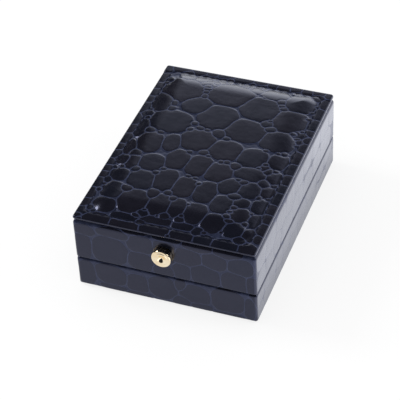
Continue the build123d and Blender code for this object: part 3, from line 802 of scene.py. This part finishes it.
wallSetup = {
    "width": 65.0,
    "depth": 90.0,
    "corner": 1.0,
    "wall": 2.3,
    "cavityCorner": 1.2,
    "spacing": 0.31,
    "rimBevel": 0.55,
    "baseRimBevel": 0.95,
    "shoulder": 1.6,
    "bottomBevel": 0.6,
    "lineShare": 0.95,
    "hingeHalf": 15.2,
    "hingeAxis": (44.5, 12.675),
    "hingeRoom": 1.2,
    "backSlope": 52.0,
    "coverSkin": 0.5,
    "reliefShare": 0.40,
    "buttonRadius": 3.62,
    "buttonHeight": 22.3,
    "lidLow": 12.8,
    "lidTop": 29.5,
    "baseLow": 0.5,
    "baseRim": 12.55,
}
wallLengths = (65.0, 90.0, 65.0, 90.0)
wallStarts = (0.0, 65.0, 155.0, 220.0)
wallRound = sum(wallLengths)


def planPlace(s, insetBy, corner):
    # a place on the box's outline drawn in by insetBy, s millimetres round from the front left corner
    setup = wallSetup
    which = np.searchsorted(np.array(wallStarts + (wallRound,)), s, side="right") - 1
    which = np.clip(which, 0, 3)
    length = np.array(wallLengths)[which]
    half = length / 2
    q = s - np.array(wallStarts)[which] - half
    straight = np.minimum(half - insetBy - corner, half - setup["corner"])
    over = np.clip((np.abs(q) - straight) / (half - straight), 0, 1)
    angle = over * math.pi / 4
    reach = half - insetBy - corner
    along = np.where(over > 0, reach + corner * np.sin(angle), np.abs(q) / straight * reach) * np.sign(q)
    other = np.where(which % 2 == 0, setup["depth"], setup["width"]) / 2
    out = other - insetBy - corner * (1 - np.cos(angle))
    x = np.select([which == 0, which == 1, which == 2, which == 3], [along, out, -along, -out])
    y = np.select([which == 0, which == 1, which == 2, which == 3], [-out, along, out, -along])
    return x, y


def sweptWall(name, rows):
    # rows: (inset, corner, height, unrolled height) from one edge of the sheet to the other
    setup = wallSetup
    count = round(wallRound / setup["spacing"])
    s = np.linspace(0, wallRound, count + 1)
    sheet, column, row = gridSheet(name, count, len(rows) - 1)
    rowData = np.array(rows)
    sv = s[column]
    x, y = planPlace(np.where(sv >= wallRound, 0.0, sv), rowData[row, 0], rowData[row, 1])
    z = rowData[row, 2]
    return sheet, sv, rowData[row, 3], x, y, z, row


def bendRows(centreInset, centreHeight, radius, fromAngle, toAngle, steps, cornerOf, unrolled):
    # rows round an edge; angle 0 looks out of the wall and 90 looks up
    out = []
    for k in range(1, steps + 1):
        angle = math.radians(fromAngle + (toAngle - fromAngle) * k / steps)
        insetBy = centreInset - radius * math.cos(angle)
        length = radius * abs(math.radians(toAngle - fromAngle)) * k / steps
        out.append((insetBy, cornerOf(insetBy), centreHeight + radius * math.sin(angle), unrolled + length))
    return out


def coverCorner(insetBy):
    return max(wallSetup["corner"] - insetBy, 0.05)


def wallBand(low, high):
    steps = max(1, round((high - low) / wallSetup["spacing"]))
    levels = [low + (high - low) * k / steps for k in range(steps + 1)]
    return [(0.0, wallSetup["corner"], level, level) for level in levels]


def leatherWall(name, rows, scales, seed, body, node, rimLevel, upward):
    setup = wallSetup
    sheet, s, v, x, y, z, row = sweptWall(name, rows)
    beside = (0.033, 0.0, rimLevel * mm + (0.004 if upward else -0.004))
    # the back edge slopes away from the hinge, and the knuckles have a notch
    slope = math.tan(math.radians(setup["backSlope"]))
    lift = np.maximum(y - setup["hingeAxis"][0], 0) * slope
    if upward:
        z = np.maximum(z, rimLevel + lift)
    else:
        z = np.minimum(z, rimLevel - lift)
    atHinge = (np.abs(x) < setup["hingeHalf"]) & (y > 40)
    notch = setup["hingeAxis"][1] + (setup["hingeRoom"] if upward else -setup["hingeRoom"])
    nearRim = atHinge & ((z < notch) if upward else (z > notch))
    z = np.where(nearRim, notch, z)
    y = np.where(nearRim, np.maximum(y, setup["depth"] / 2 - setup["coverSkin"]), y)
    setPoints(sheet, np.column_stack([x, y, z]) * mm)
    turnFacesOut(sheet, beside, (1, 0, 0))
    height, edge, lot = pressedScales(s, v, scales, seed, wallFilm)
    fade = np.where(np.array(rows)[row, 0] > 0.96, 0.0, 1.0)
    fromRim = np.abs(z - rimLevel - (lift if upward else -lift))
    height = height * (0.15 + 0.85 * smoothStep(0.2, 1.0, fromRim))
    if upward:  # pressed flat round the button
        away = np.hypot(x, z - setup["buttonHeight"]) - setup["buttonRadius"]
        front = (y < -setup["depth"] / 2 + 3)
        flat = np.where(front, 1 - smoothStep(0.1, 1.0, away), 0)
        height = height * (1 - flat) - np.where(front, 0.2 * np.exp(-(away / 0.35) ** 2), 0)
        edge = np.where(flat > 0.02, np.maximum(edge, flat * 1.2), edge)
    co = points(sheet)
    co += normals(sheet) * (height * fade * setup["reliefShare"] * mm)[:, None]
    setPoints(sheet, co)
    setMark(sheet, "scaleEdge", np.where(fade > 0, edge, 1.5))
    setMark(sheet, "scaleLot", lot)
    setMark(sheet, "lineShare", np.full(len(lot), setup["lineShare"]))
    if upward:
        cutButtonHole(sheet)
    closeSeams(sheet)
    turnFacesOut(sheet, beside, (1, 0, 0))
    smooth(sheet, 80)
    finishPiece(sheet, body, "leatherette", leatherette, node)
    print(name + ":", len(sheet.data.polygons), "quads")


def roundButton(sheet):
    # the sheet's points, which of them are on the front, and how far each is from the button's axis
    co = points(sheet)
    front = co[:, 1] < (-wallSetup["depth"] / 2 + 1.5) * mm
    return co, front, np.hypot(co[:, 0], co[:, 2] - wallSetup["buttonHeight"] * mm)


def cutButtonHole(sheet):
    setup = wallSetup
    radius = setup["buttonRadius"] * mm
    centre = setup["buttonHeight"] * mm
    co, front, away = roundButton(sheet)
    inside = front & (away < radius)
    chosen = [all(inside[vertex] for vertex in face.vertices) for face in sheet.data.polygons]
    deleteChosen(sheet, sheet.data.polygons, chosen, "FACE", (False, False, True))
    stopEditing()
    co, front, away = roundButton(sheet)
    inside = front & (away < radius)
    push = np.where(inside, radius / np.maximum(away, 1e-6), 1.0)
    outer = front & (away >= radius) & (away < radius + 0.6 * mm)
    spread = radius + 0.12 * mm + (away - radius) * 0.8
    push = np.where(outer, spread / np.maximum(away, 1e-6), push)
    co[:, 0] *= push
    co[:, 2] = centre + (co[:, 2] - centre) * push
    setPoints(sheet, co)
    edges = sheet.data.edges
    sheet.data.vertices.foreach_set("select", inside)
    edges.foreach_set("select", [inside[edge.vertices[0]] and inside[edge.vertices[1]] for edge in edges])
    sheet.data.polygons.foreach_set("select", [False] * len(sheet.data.polygons))
    bpy.ops.object.mode_set(mode="EDIT")
    bpy.context.tool_settings.mesh_select_mode = (False, True, False)
    bpy.ops.mesh.extrude_region_move(TRANSFORM_OT_translate={"value": (0, setup["coverSkin"] * mm, 0)})
    stopEditing()


def sideScales(low, high, width, height, seed):
    # the right, back and left walls follow the front one round the box
    out = []
    for start, length, step in ((65.0, 90.0, 1), (155.0, 65.0, 2), (220.0, 90.0, 3)):
        for cell in sownScales(length, low, high, width, height, seed + step):
            if cell[0] < length - 1.5:
                out.append((cell[0] + start, *cell[1:]))
    return out


setup = wallSetup
wall, cavityCorner = setup["wall"], setup["cavityCorner"]

bevel, shoulder, low, high = setup["rimBevel"], setup["shoulder"], setup["lidLow"], setup["lidTop"]
lidRows = [(wall, cavityCorner, low, 10.2), (1.6, 0.9, low, 10.9), (0.9, 0.4, low, 11.6)]
lidRows += bendRows(bevel, low + bevel, bevel, -90, 0, 4, coverCorner, 12.4)
lidRows += wallBand(12.9 + bevel, high - shoulder)
lidRows += bendRows(shoulder, high - shoulder, shoulder, 0, 90, 7, coverCorner, high - shoulder)
lidRows += [(2.0, 0.5, 29.49, 30.9), (3.0, 0.6, 29.47, 32.0), (6.0, 0.8, 29.45, 35.0)]
lidScales = frontLidScales + sideScales(13.0, 29.6, 10.0, 7.6, 21)
leatherWall("lidCover", lidRows, lidScales, 31, "lid", "lid_cover", low, True)

bevel, foot, rim = setup["baseRimBevel"], setup["bottomBevel"], setup["baseRim"]
baseRows = [(7.0, 1.0, 0.52, -6.5), (3.5, 0.8, 0.52, -3.0), (1.2, 0.5, 0.51, -0.7)]
baseRows += bendRows(foot, setup["baseLow"] + foot, foot, -90, 0, 4, coverCorner, -0.1)
baseRows += wallBand(1.2, 12.5 - bevel)
baseRows += bendRows(bevel, rim - bevel, bevel, 0, 90, 4, coverCorner, rim - bevel)
baseRows += [(1.3, 0.6, rim, 13.7), (1.8, 0.9, rim, 14.2), (wall, cavityCorner, rim, 14.7)]
baseScales = frontBaseScales + sideScales(0.0, 12.6, 10.5, 6.3, 41)
leatherWall("baseCover", baseRows, baseScales, 47, "base", "base_cover", rim, False)


# stitching round the panel

def stitchPath(count):
    # evenly spread places and directions round the panel
    setup = stitchSetup
    a = panelSetup["width"] / 2 - setup["inset"] - setup["corner"]
    b = panelSetup["depth"] / 2 - setup["inset"] - setup["corner"]
    r = setup["corner"]
    arc = math.pi / 2 * r
    parts = [(2 * a, "x", -b - r, 1), (arc, 0, 0, 0), (2 * b, "y", a + r, 1), (arc, 1, 0, 0),
             (2 * a, "x", b + r, -1), (arc, 2, 0, 0), (2 * b, "y", -a - r, -1), (arc, 3, 0, 0)]
    total = sum(part[0] for part in parts)
    centres = [(a, -b), (a, b), (-a, b), (-a, -b)]
    places = []
    for k in range(count):
        left = (k + 0.5) * total / count
        for length, kind, level, sign in parts:
            if left <= length:
                break
            left -= length
        if kind == "x":
            places.append(((left - a) * sign, level, 0.0 if sign > 0 else math.pi))
        elif kind == "y":
            places.append((level, (left - b) * sign, math.pi / 2 * sign))
        else:
            angle = -math.pi / 2 + kind * math.pi / 2 + left / r
            places.append((centres[kind][0] + r * math.cos(angle), centres[kind][1] + r * math.sin(angle),
                           angle + math.pi / 2))
    return places


def oneStitch():
    # a short twisted thread whose ends dive into the film
    setup = stitchSetup
    clearSelection()
    bpy.ops.mesh.primitive_cylinder_add(vertices=10, radius=setup["thickness"] / 2 * mm, depth=setup["length"] * mm)
    stitch = named("stitch")
    stitch.rotation_euler = (0, math.pi / 2, 0)
    placeInMesh(stitch)
    startEditing(stitch)
    bpy.ops.mesh.bisect(plane_co=(0, 0, 0), plane_no=(1, 0, 0))
    for cut in (-0.42, -0.34, -0.25, -0.16, -0.08, 0.08, 0.16, 0.25, 0.34, 0.42):
        bpy.ops.mesh.select_all(action="SELECT")
        bpy.ops.mesh.bisect(plane_co=(cut * setup["length"] * mm, 0, 0), plane_no=(1, 0, 0))
    stopEditing()
    co = points(stitch)
    share = co[:, 0] / (setup["length"] / 2 * mm)
    angle = np.arctan2(co[:, 2], co[:, 1])
    ply = 0.5 + 0.5 * np.cos(2 * (angle - share * 2.6))
    plump = np.sqrt(np.clip(1 - (np.abs(share) * 0.97) ** 4, 0.08, 1)) * (0.84 + 0.16 * ply)
    co[:, 1] *= plump * 1.1
    co[:, 2] *= plump
    co[:, 2] -= setup["arch"] * mm * share ** 2 * 1.6
    setPoints(stitch, co)
    setMark(stitch, "ply", 1 - ply)
    return stitch


first = oneStitch()
copies = [first]
places = stitchPath(stitchSetup["count"])
for place in places[1:]:
    copy = first.copy()
    copy.data = first.data.copy()
    bpy.context.scene.collection.objects.link(copy)
    copies.append(copy)
stitchLevel = (panelSetup["level"] - stitchSetup["sink"] + stitchSetup["stand"]) * mm
for copy, place in zip(copies, places):
    lean = math.radians(4) + random.uniform(-0.05, 0.05)
    copy.location = (place[0] * mm, place[1] * mm, stitchLevel)
    copy.rotation_euler = (0, 0, place[2] + lean)
clearSelection()
for copy in copies:
    copy.select_set(True)
bpy.context.view_layer.objects.active = first
bpy.ops.object.join()
panelStitches = named("panelStitches")
placeInMesh(panelStitches)
smooth(panelStitches, 60)
finishPiece(panelStitches, "lid", "leatherette", stitchThread)
print("stitches sewn")

# inside: velvet earring pad, satin lid pad and the foam under both leatherette and velvet

earringPadSetup = {
    "size": (53.8, 78.8),
    "corner": 2.5,
    "edge": 1.1,
    "low": 9.6,
    "shoulder": 13.5,
    "rise": 1.2,
    "reach": 6.0,
    "turnIn": 4.0,
    "spacing": 0.42,
    "holes": ((-11.0, 8.0), (11.0, 8.0)),
    "holeDepth": 2.4,
    "slits": ((-14.0, 24.0), (14.0, 24.0)),
    "slitHalf": 6.4,
    "slitDepth": 2.6,
}
setup = earringPadSetup
earringPad, u, v, x, y, down, beyond = wrappedTop(
    "earringPad", *setup["size"], setup["corner"], setup["edge"], setup["shoulder"] - setup["low"], setup["turnIn"],
    setup["spacing"],
)
inset = roundedInset(x, y, setup["size"][0] / 2, setup["size"][1] / 2, setup["corner"])
swell = np.sin(np.pi / 2 * np.clip(inset / setup["reach"], 0, 1))
dents = np.zeros(len(x))
for hole in setup["holes"]:
    away = np.hypot(x - hole[0], y - hole[1])
    dents += setup["holeDepth"] * np.exp(-(away / 0.62) ** 2) + 0.35 * np.exp(-(away / 2.4) ** 2)
for slit in setup["slits"]:
    away = np.hypot(np.maximum(np.abs(x - slit[0]) - setup["slitHalf"], 0), y - slit[1])
    dents += setup["slitDepth"] * np.exp(-(away / 0.50) ** 2) + 0.45 * np.exp(-(away / 2.2) ** 2)
topOnly = 1 - smoothStep(0.5, 2.5, beyond)
soft = 0.10 * softNoise(x, y, 11.0, 3) + 0.05 * softNoise(x, y, 4.5, 4)
z = setup["shoulder"] - down + setup["rise"] * swell * topOnly - (dents - soft) * topOnly
setPoints(earringPad, np.column_stack([x, y, z]) * mm)
closeSeams(earringPad)
turnFacesOut(earringPad, (0.0, 0.0, 0.015), (0, 0, 1))
smooth(earringPad, 80)
finishPiece(earringPad, "base", "velvet", nightVelvet, "earring_pad")

lidPadSetup = {
    "size": (57.8, 81.05),
    "middle": 0.875,
    "corner": 4.0,
    "edge": 0.45,
    "high": 25.3,
    "shoulder": 24.3,
    "drop": 1.5,
    "reach": 8.0,
    "turnIn": 5.0,
    "spacing": 0.45,
    "pucker": 0.10,
}
setup = lidPadSetup
lidPad, u, v, x, y, down, beyond = wrappedTop(
    "lidPad", *setup["size"], setup["corner"], setup["edge"], setup["high"] - setup["shoulder"], setup["turnIn"],
    setup["spacing"],
)
inset = roundedInset(x, y, setup["size"][0] / 2, setup["size"][1] / 2, setup["corner"])
swell = np.sin(np.pi / 2 * np.clip(inset / setup["reach"], 0, 1))
around = np.where(np.abs(np.abs(x) - setup["size"][0] / 2) < np.abs(np.abs(y) - setup["size"][1] / 2), y, x)
topOnly = 1 - smoothStep(3.2, 4.4, beyond)
pucker = setup["pucker"] * np.sin(around * 1.35 + 2.2 * softNoise(x, y, 7.0, 8))
pucker = pucker * np.exp(-np.maximum(inset, 0) / 3.5)
soft = 0.10 * softNoise(x, y, 13.0, 9) + 0.04 * softNoise(x, y, 5.0, 10)
z = setup["shoulder"] + down - setup["drop"] * swell + (pucker + soft) * topOnly
setPoints(lidPad, np.column_stack([x, y + setup["middle"], z]) * mm)
closeSeams(lidPad)
turnFacesOut(lidPad, (0.0, 0.0, 0.0228), (0, 0, -1))
smooth(lidPad, 80)
finishPiece(lidPad, "lid", "satin", satinLining, "lid_pad")

foamSetup = (
    # name, body, size, corner, edge, low, shoulder, rise, reach, node
    ("foamBlock", "base", (53.8, 78.8), 2.5, 0.3, 2.6, 8.6, 0.0, 1.0, "foam_block"),
    ("panelFoam", "lid", (55.3, 80.3), 5.0, 0.1, 30.9, 31.1, 1.8, 7.0, "panel_foam"),
)
for name, body, size, corner, edge, lowLevel, shoulder, lift, reach, node in foamSetup:
    foam, u, v, x, y, down, beyond = wrappedTop(name, *size, corner, edge, shoulder - lowLevel, corner + 6.0, 1.2)
    inset = roundedInset(x, y, size[0] / 2, size[1] / 2, corner)
    swell = np.sin(np.pi / 2 * np.clip(inset / reach, 0, 1)) * (beyond < corner + 0.3)
    z = shoulder - down + lift * swell + 0.05 * softNoise(x, y, 2.5, 12) * (down < 0.1) - 0.05 * (down < 0.1)
    setPoints(foam, np.column_stack([x, y, z]) * mm)
    closeSeams(foam)
    turnFacesOut(foam, (0.0, 0.0, shoulder * mm + 0.003), (0, 0, 1))
    smooth(foam, 50)
    finishPiece(foam, body, "foam", openFoam, node)
print("inside padded")


# push button: one profile spun round its axis

buttonSetup = {
    "steps": 96,
    # radius, and place along the box's depth, from the middle of the face to the cap's end
    "profile": (
        (0.0, -46.30), (0.15, -46.31), (0.38, -46.42), (0.76, -46.68), (1.14, -46.94), (1.5, -47.15),
        (1.72, -47.25), (1.9, -47.31), (2.05, -47.345), (2.2, -47.345), (2.3, -47.31), (2.4, -47.24),
        (2.5, -47.19), (2.62, -47.18), (2.8, -47.23), (2.97, -47.29), (3.1, -47.33), (3.22, -47.325),
        (3.34, -47.27), (3.43, -47.16), (3.48, -47.02), (3.50, -46.87), (3.50, -46.5), (3.48, -46.44),
        (3.48, -46.30), (3.50, -46.24), (3.50, -44.06), (3.45, -43.95), (3.12, -43.95),
    ),
}


def spunPiece(name, profile, height, steps):
    # a lathe-turned shape round the button's axis
    clearSelection()
    bpy.ops.mesh.primitive_circle_add(vertices=len(profile), radius=0.001)
    piece = named(name)
    outline = np.array([(radius, along, height) for radius, along in profile]) * mm
    setPoints(piece, outline)
    last = len(profile) - 1
    chosen = [set(edge.vertices) == {0, last} for edge in piece.data.edges]
    deleteChosen(piece, piece.data.edges, chosen, "EDGE", (False, True, False))
    bpy.ops.mesh.select_all(action="SELECT")
    bpy.ops.mesh.spin(
        steps=steps, angle=math.tau, center=(0, 0, height * mm), axis=(0, 1, 0), use_auto_merge=True
    )
    stopEditing()
    closeSeams(piece)
    return piece


goldButton = spunPiece("goldButton", buttonSetup["profile"], wallSetup["buttonHeight"], buttonSetup["steps"])
turnFacesOut(goldButton, (0.0019, -0.0474, 0.0223), (0, -1, 0))
smooth(goldButton, 50)
finishPiece(goldButton, "button", "gold_metal", paleGold, "button_cap")
print("button turned")

# floor, world and lamps

floorSetup = {
    "size": 8.0,
    "level": -0.0002,
    "paper": (0.86, 0.86, 0.86),
    "share": 0.82,  # how much of the floor's white the camera gets without light
    "glossShare": 0.8,  # the same in reflections
    "gloss": 0.86,  # brightness in reflections, apart from the right
    # painted light: how much brighter the floor glows in reflections right of the box, a pool of light that no lamp
    # casts
    "rightPaintedGlow": (1.93, 2.22),  # right of the box, towards its front and its back
    "rightStart": (0.028, 0.040),
    "backStart": (0.030, 0.060),
    "glossTint": (0.97, 0.99, 1.07),
}
clearSelection()
bpy.ops.mesh.primitive_plane_add(size=floorSetup["size"], location=(0, 0, floorSetup["level"]))
floor = named("floor")
placeInMesh(floor)
floorPaint = bpy.data.materials.new("floorPaint")
floorPaint.use_nodes = True
tree = floorPaint.node_tree
tree.nodes.clear()
where = addNode(tree, "ShaderNodeTexCoord").outputs["Object"]
split = addNode(tree, "ShaderNodeSeparateXYZ")
feed(tree, split, 0, where)
paper = addNode(tree, "ShaderNodeBsdfDiffuse")
feed(tree, paper, "Color", floorSetup["paper"])
shown = addNode(tree, "ShaderNodeEmission")
path = addNode(tree, "ShaderNodeLightPath")
glossy = path.outputs["Is Glossy Ray"]
# painted light: a glowing pool on the floor right of the box, seen only in reflections, brighter towards the back
atRight = rangeOf(tree, split.outputs["X"], *floorSetup["rightStart"], 0.0, 1.0)
fullRight = rangeOf(tree, split.outputs["Y"], *floorSetup["backStart"], *floorSetup["rightPaintedGlow"])
brighter = maths(tree, "SUBTRACT", fullRight, floorSetup["gloss"])
toRight = plus(tree, times(tree, atRight, brighter), floorSetup["gloss"])
mirrored = plus(tree, times(tree, glossy, maths(tree, "SUBTRACT", toRight, 1.0)), 1.0)
feed(tree, shown, "Strength", mirrored)
feed(tree, shown, "Color", mixColour(tree, glossy, (1, 1, 1), floorSetup["glossTint"]))
seen = maths(tree, "MAXIMUM", path.outputs["Is Camera Ray"], path.outputs["Is Transmission Ray"])
share = plus(
    tree, times(tree, seen, floorSetup["share"]), times(tree, glossy, floorSetup["glossShare"]), clamp=True
)
mixed = addNode(tree, "ShaderNodeMixShader")
feed(tree, mixed, 0, share)
tree.links.new(paper.outputs[0], mixed.inputs[1])
tree.links.new(shown.outputs[0], mixed.inputs[2])
below = addNode(tree, "ShaderNodeMixShader")
feed(tree, below, 0, addNode(tree, "ShaderNodeNewGeometry").outputs["Backfacing"])
tree.links.new(mixed.outputs[0], below.inputs[1])
tree.links.new(addNode(tree, "ShaderNodeBsdfTransparent").outputs[0], below.inputs[2])
tree.links.new(below.outputs[0], addNode(tree, "ShaderNodeOutputMaterial").inputs[0])
floor.data.materials.append(floorPaint)

worldSetup = {
    "card": (2.0, 2.06, 2.15),  # a white card behind the box, which only reflections show
    "cardRise": (0.25, 0.745),
    "cardBehind": (-0.05, 0.62),
    "cardSideways": (-0.60, -0.38),
    "lowRise": (0.0, 0.10),
    "lowShare": 0.25,
    "dark": (0.012, 0.013, 0.018),
    "softRise": (-0.2, 0.9),
    "softBelow": (0.75, 0.75, 0.78),
    "softAbove": (0.95, 0.95, 0.95),
}
setup = worldSetup
world = bpy.data.worlds.new("studio")
bpy.context.scene.world = world
world.use_nodes = True
tree = world.node_tree
tree.nodes.clear()
direction = addNode(tree, "ShaderNodeTexCoord").outputs["Generated"]
split = addNode(tree, "ShaderNodeSeparateXYZ")
feed(tree, split, 0, direction)
path = addNode(tree, "ShaderNodeLightPath")
east, north, up = (split.outputs[axis] for axis in "XYZ")
rise = rangeOf(tree, up, *setup["cardRise"], 1.0, 0.0)
flatSquared = maths(tree, "SUBTRACT", 1.0, times(tree, up, up))
level = maths(tree, "SQRT", maths(tree, "MAXIMUM", flatSquared, 0.01))
sideways = maths(tree, "DIVIDE", east, level)
behind = rangeOf(tree, maths(tree, "DIVIDE", north, level), *setup["cardBehind"], 0.0, 1.0)
fromLeft = rangeOf(tree, sideways, *setup["cardSideways"], 0.0, 1.0)
card = times(tree, times(tree, rise, behind), fromLeft)
low = rangeOf(tree, up, *setup["lowRise"], setup["lowShare"], 0.0)
skyGloss = mixColour(tree, maths(tree, "MAXIMUM", card, low), setup["dark"], setup["card"])
softRise = rangeOf(tree, up, *setup["softRise"], 0.0, 1.0)
skySoft = mixColour(tree, softRise, setup["softBelow"], setup["softAbove"])
colour = mixColour(tree, path.outputs["Is Glossy Ray"], skySoft, skyGloss)
seen = maths(tree, "MAXIMUM", path.outputs["Is Camera Ray"], path.outputs["Is Transmission Ray"])
colour = mixColour(tree, seen, colour, (1, 1, 1))
backdrop = addNode(tree, "ShaderNodeBackground")
feed(tree, backdrop, "Color", colour)
tree.links.new(backdrop.outputs[0], addNode(tree, "ShaderNodeOutputWorld").inputs[0])


def softLamp(name, place, size, power):
    data = bpy.data.lights.new(name, "AREA")
    data.shape = "DISK"
    data.size = size
    data.energy = power
    lamp = bpy.data.objects.new(name, data)
    lamp.location = place
    lamp.rotation_euler = (-Vector(place)).to_track_quat("-Z", "Y").to_euler()
    bpy.context.scene.collection.objects.link(lamp)


softLamp("keyLamp", (-0.74, 0.02, 0.58), 0.36, 4.4)
softLamp("sideLamp", (0.75, 0.15, 0.45), 0.30, 1.4)
print("studio ready")
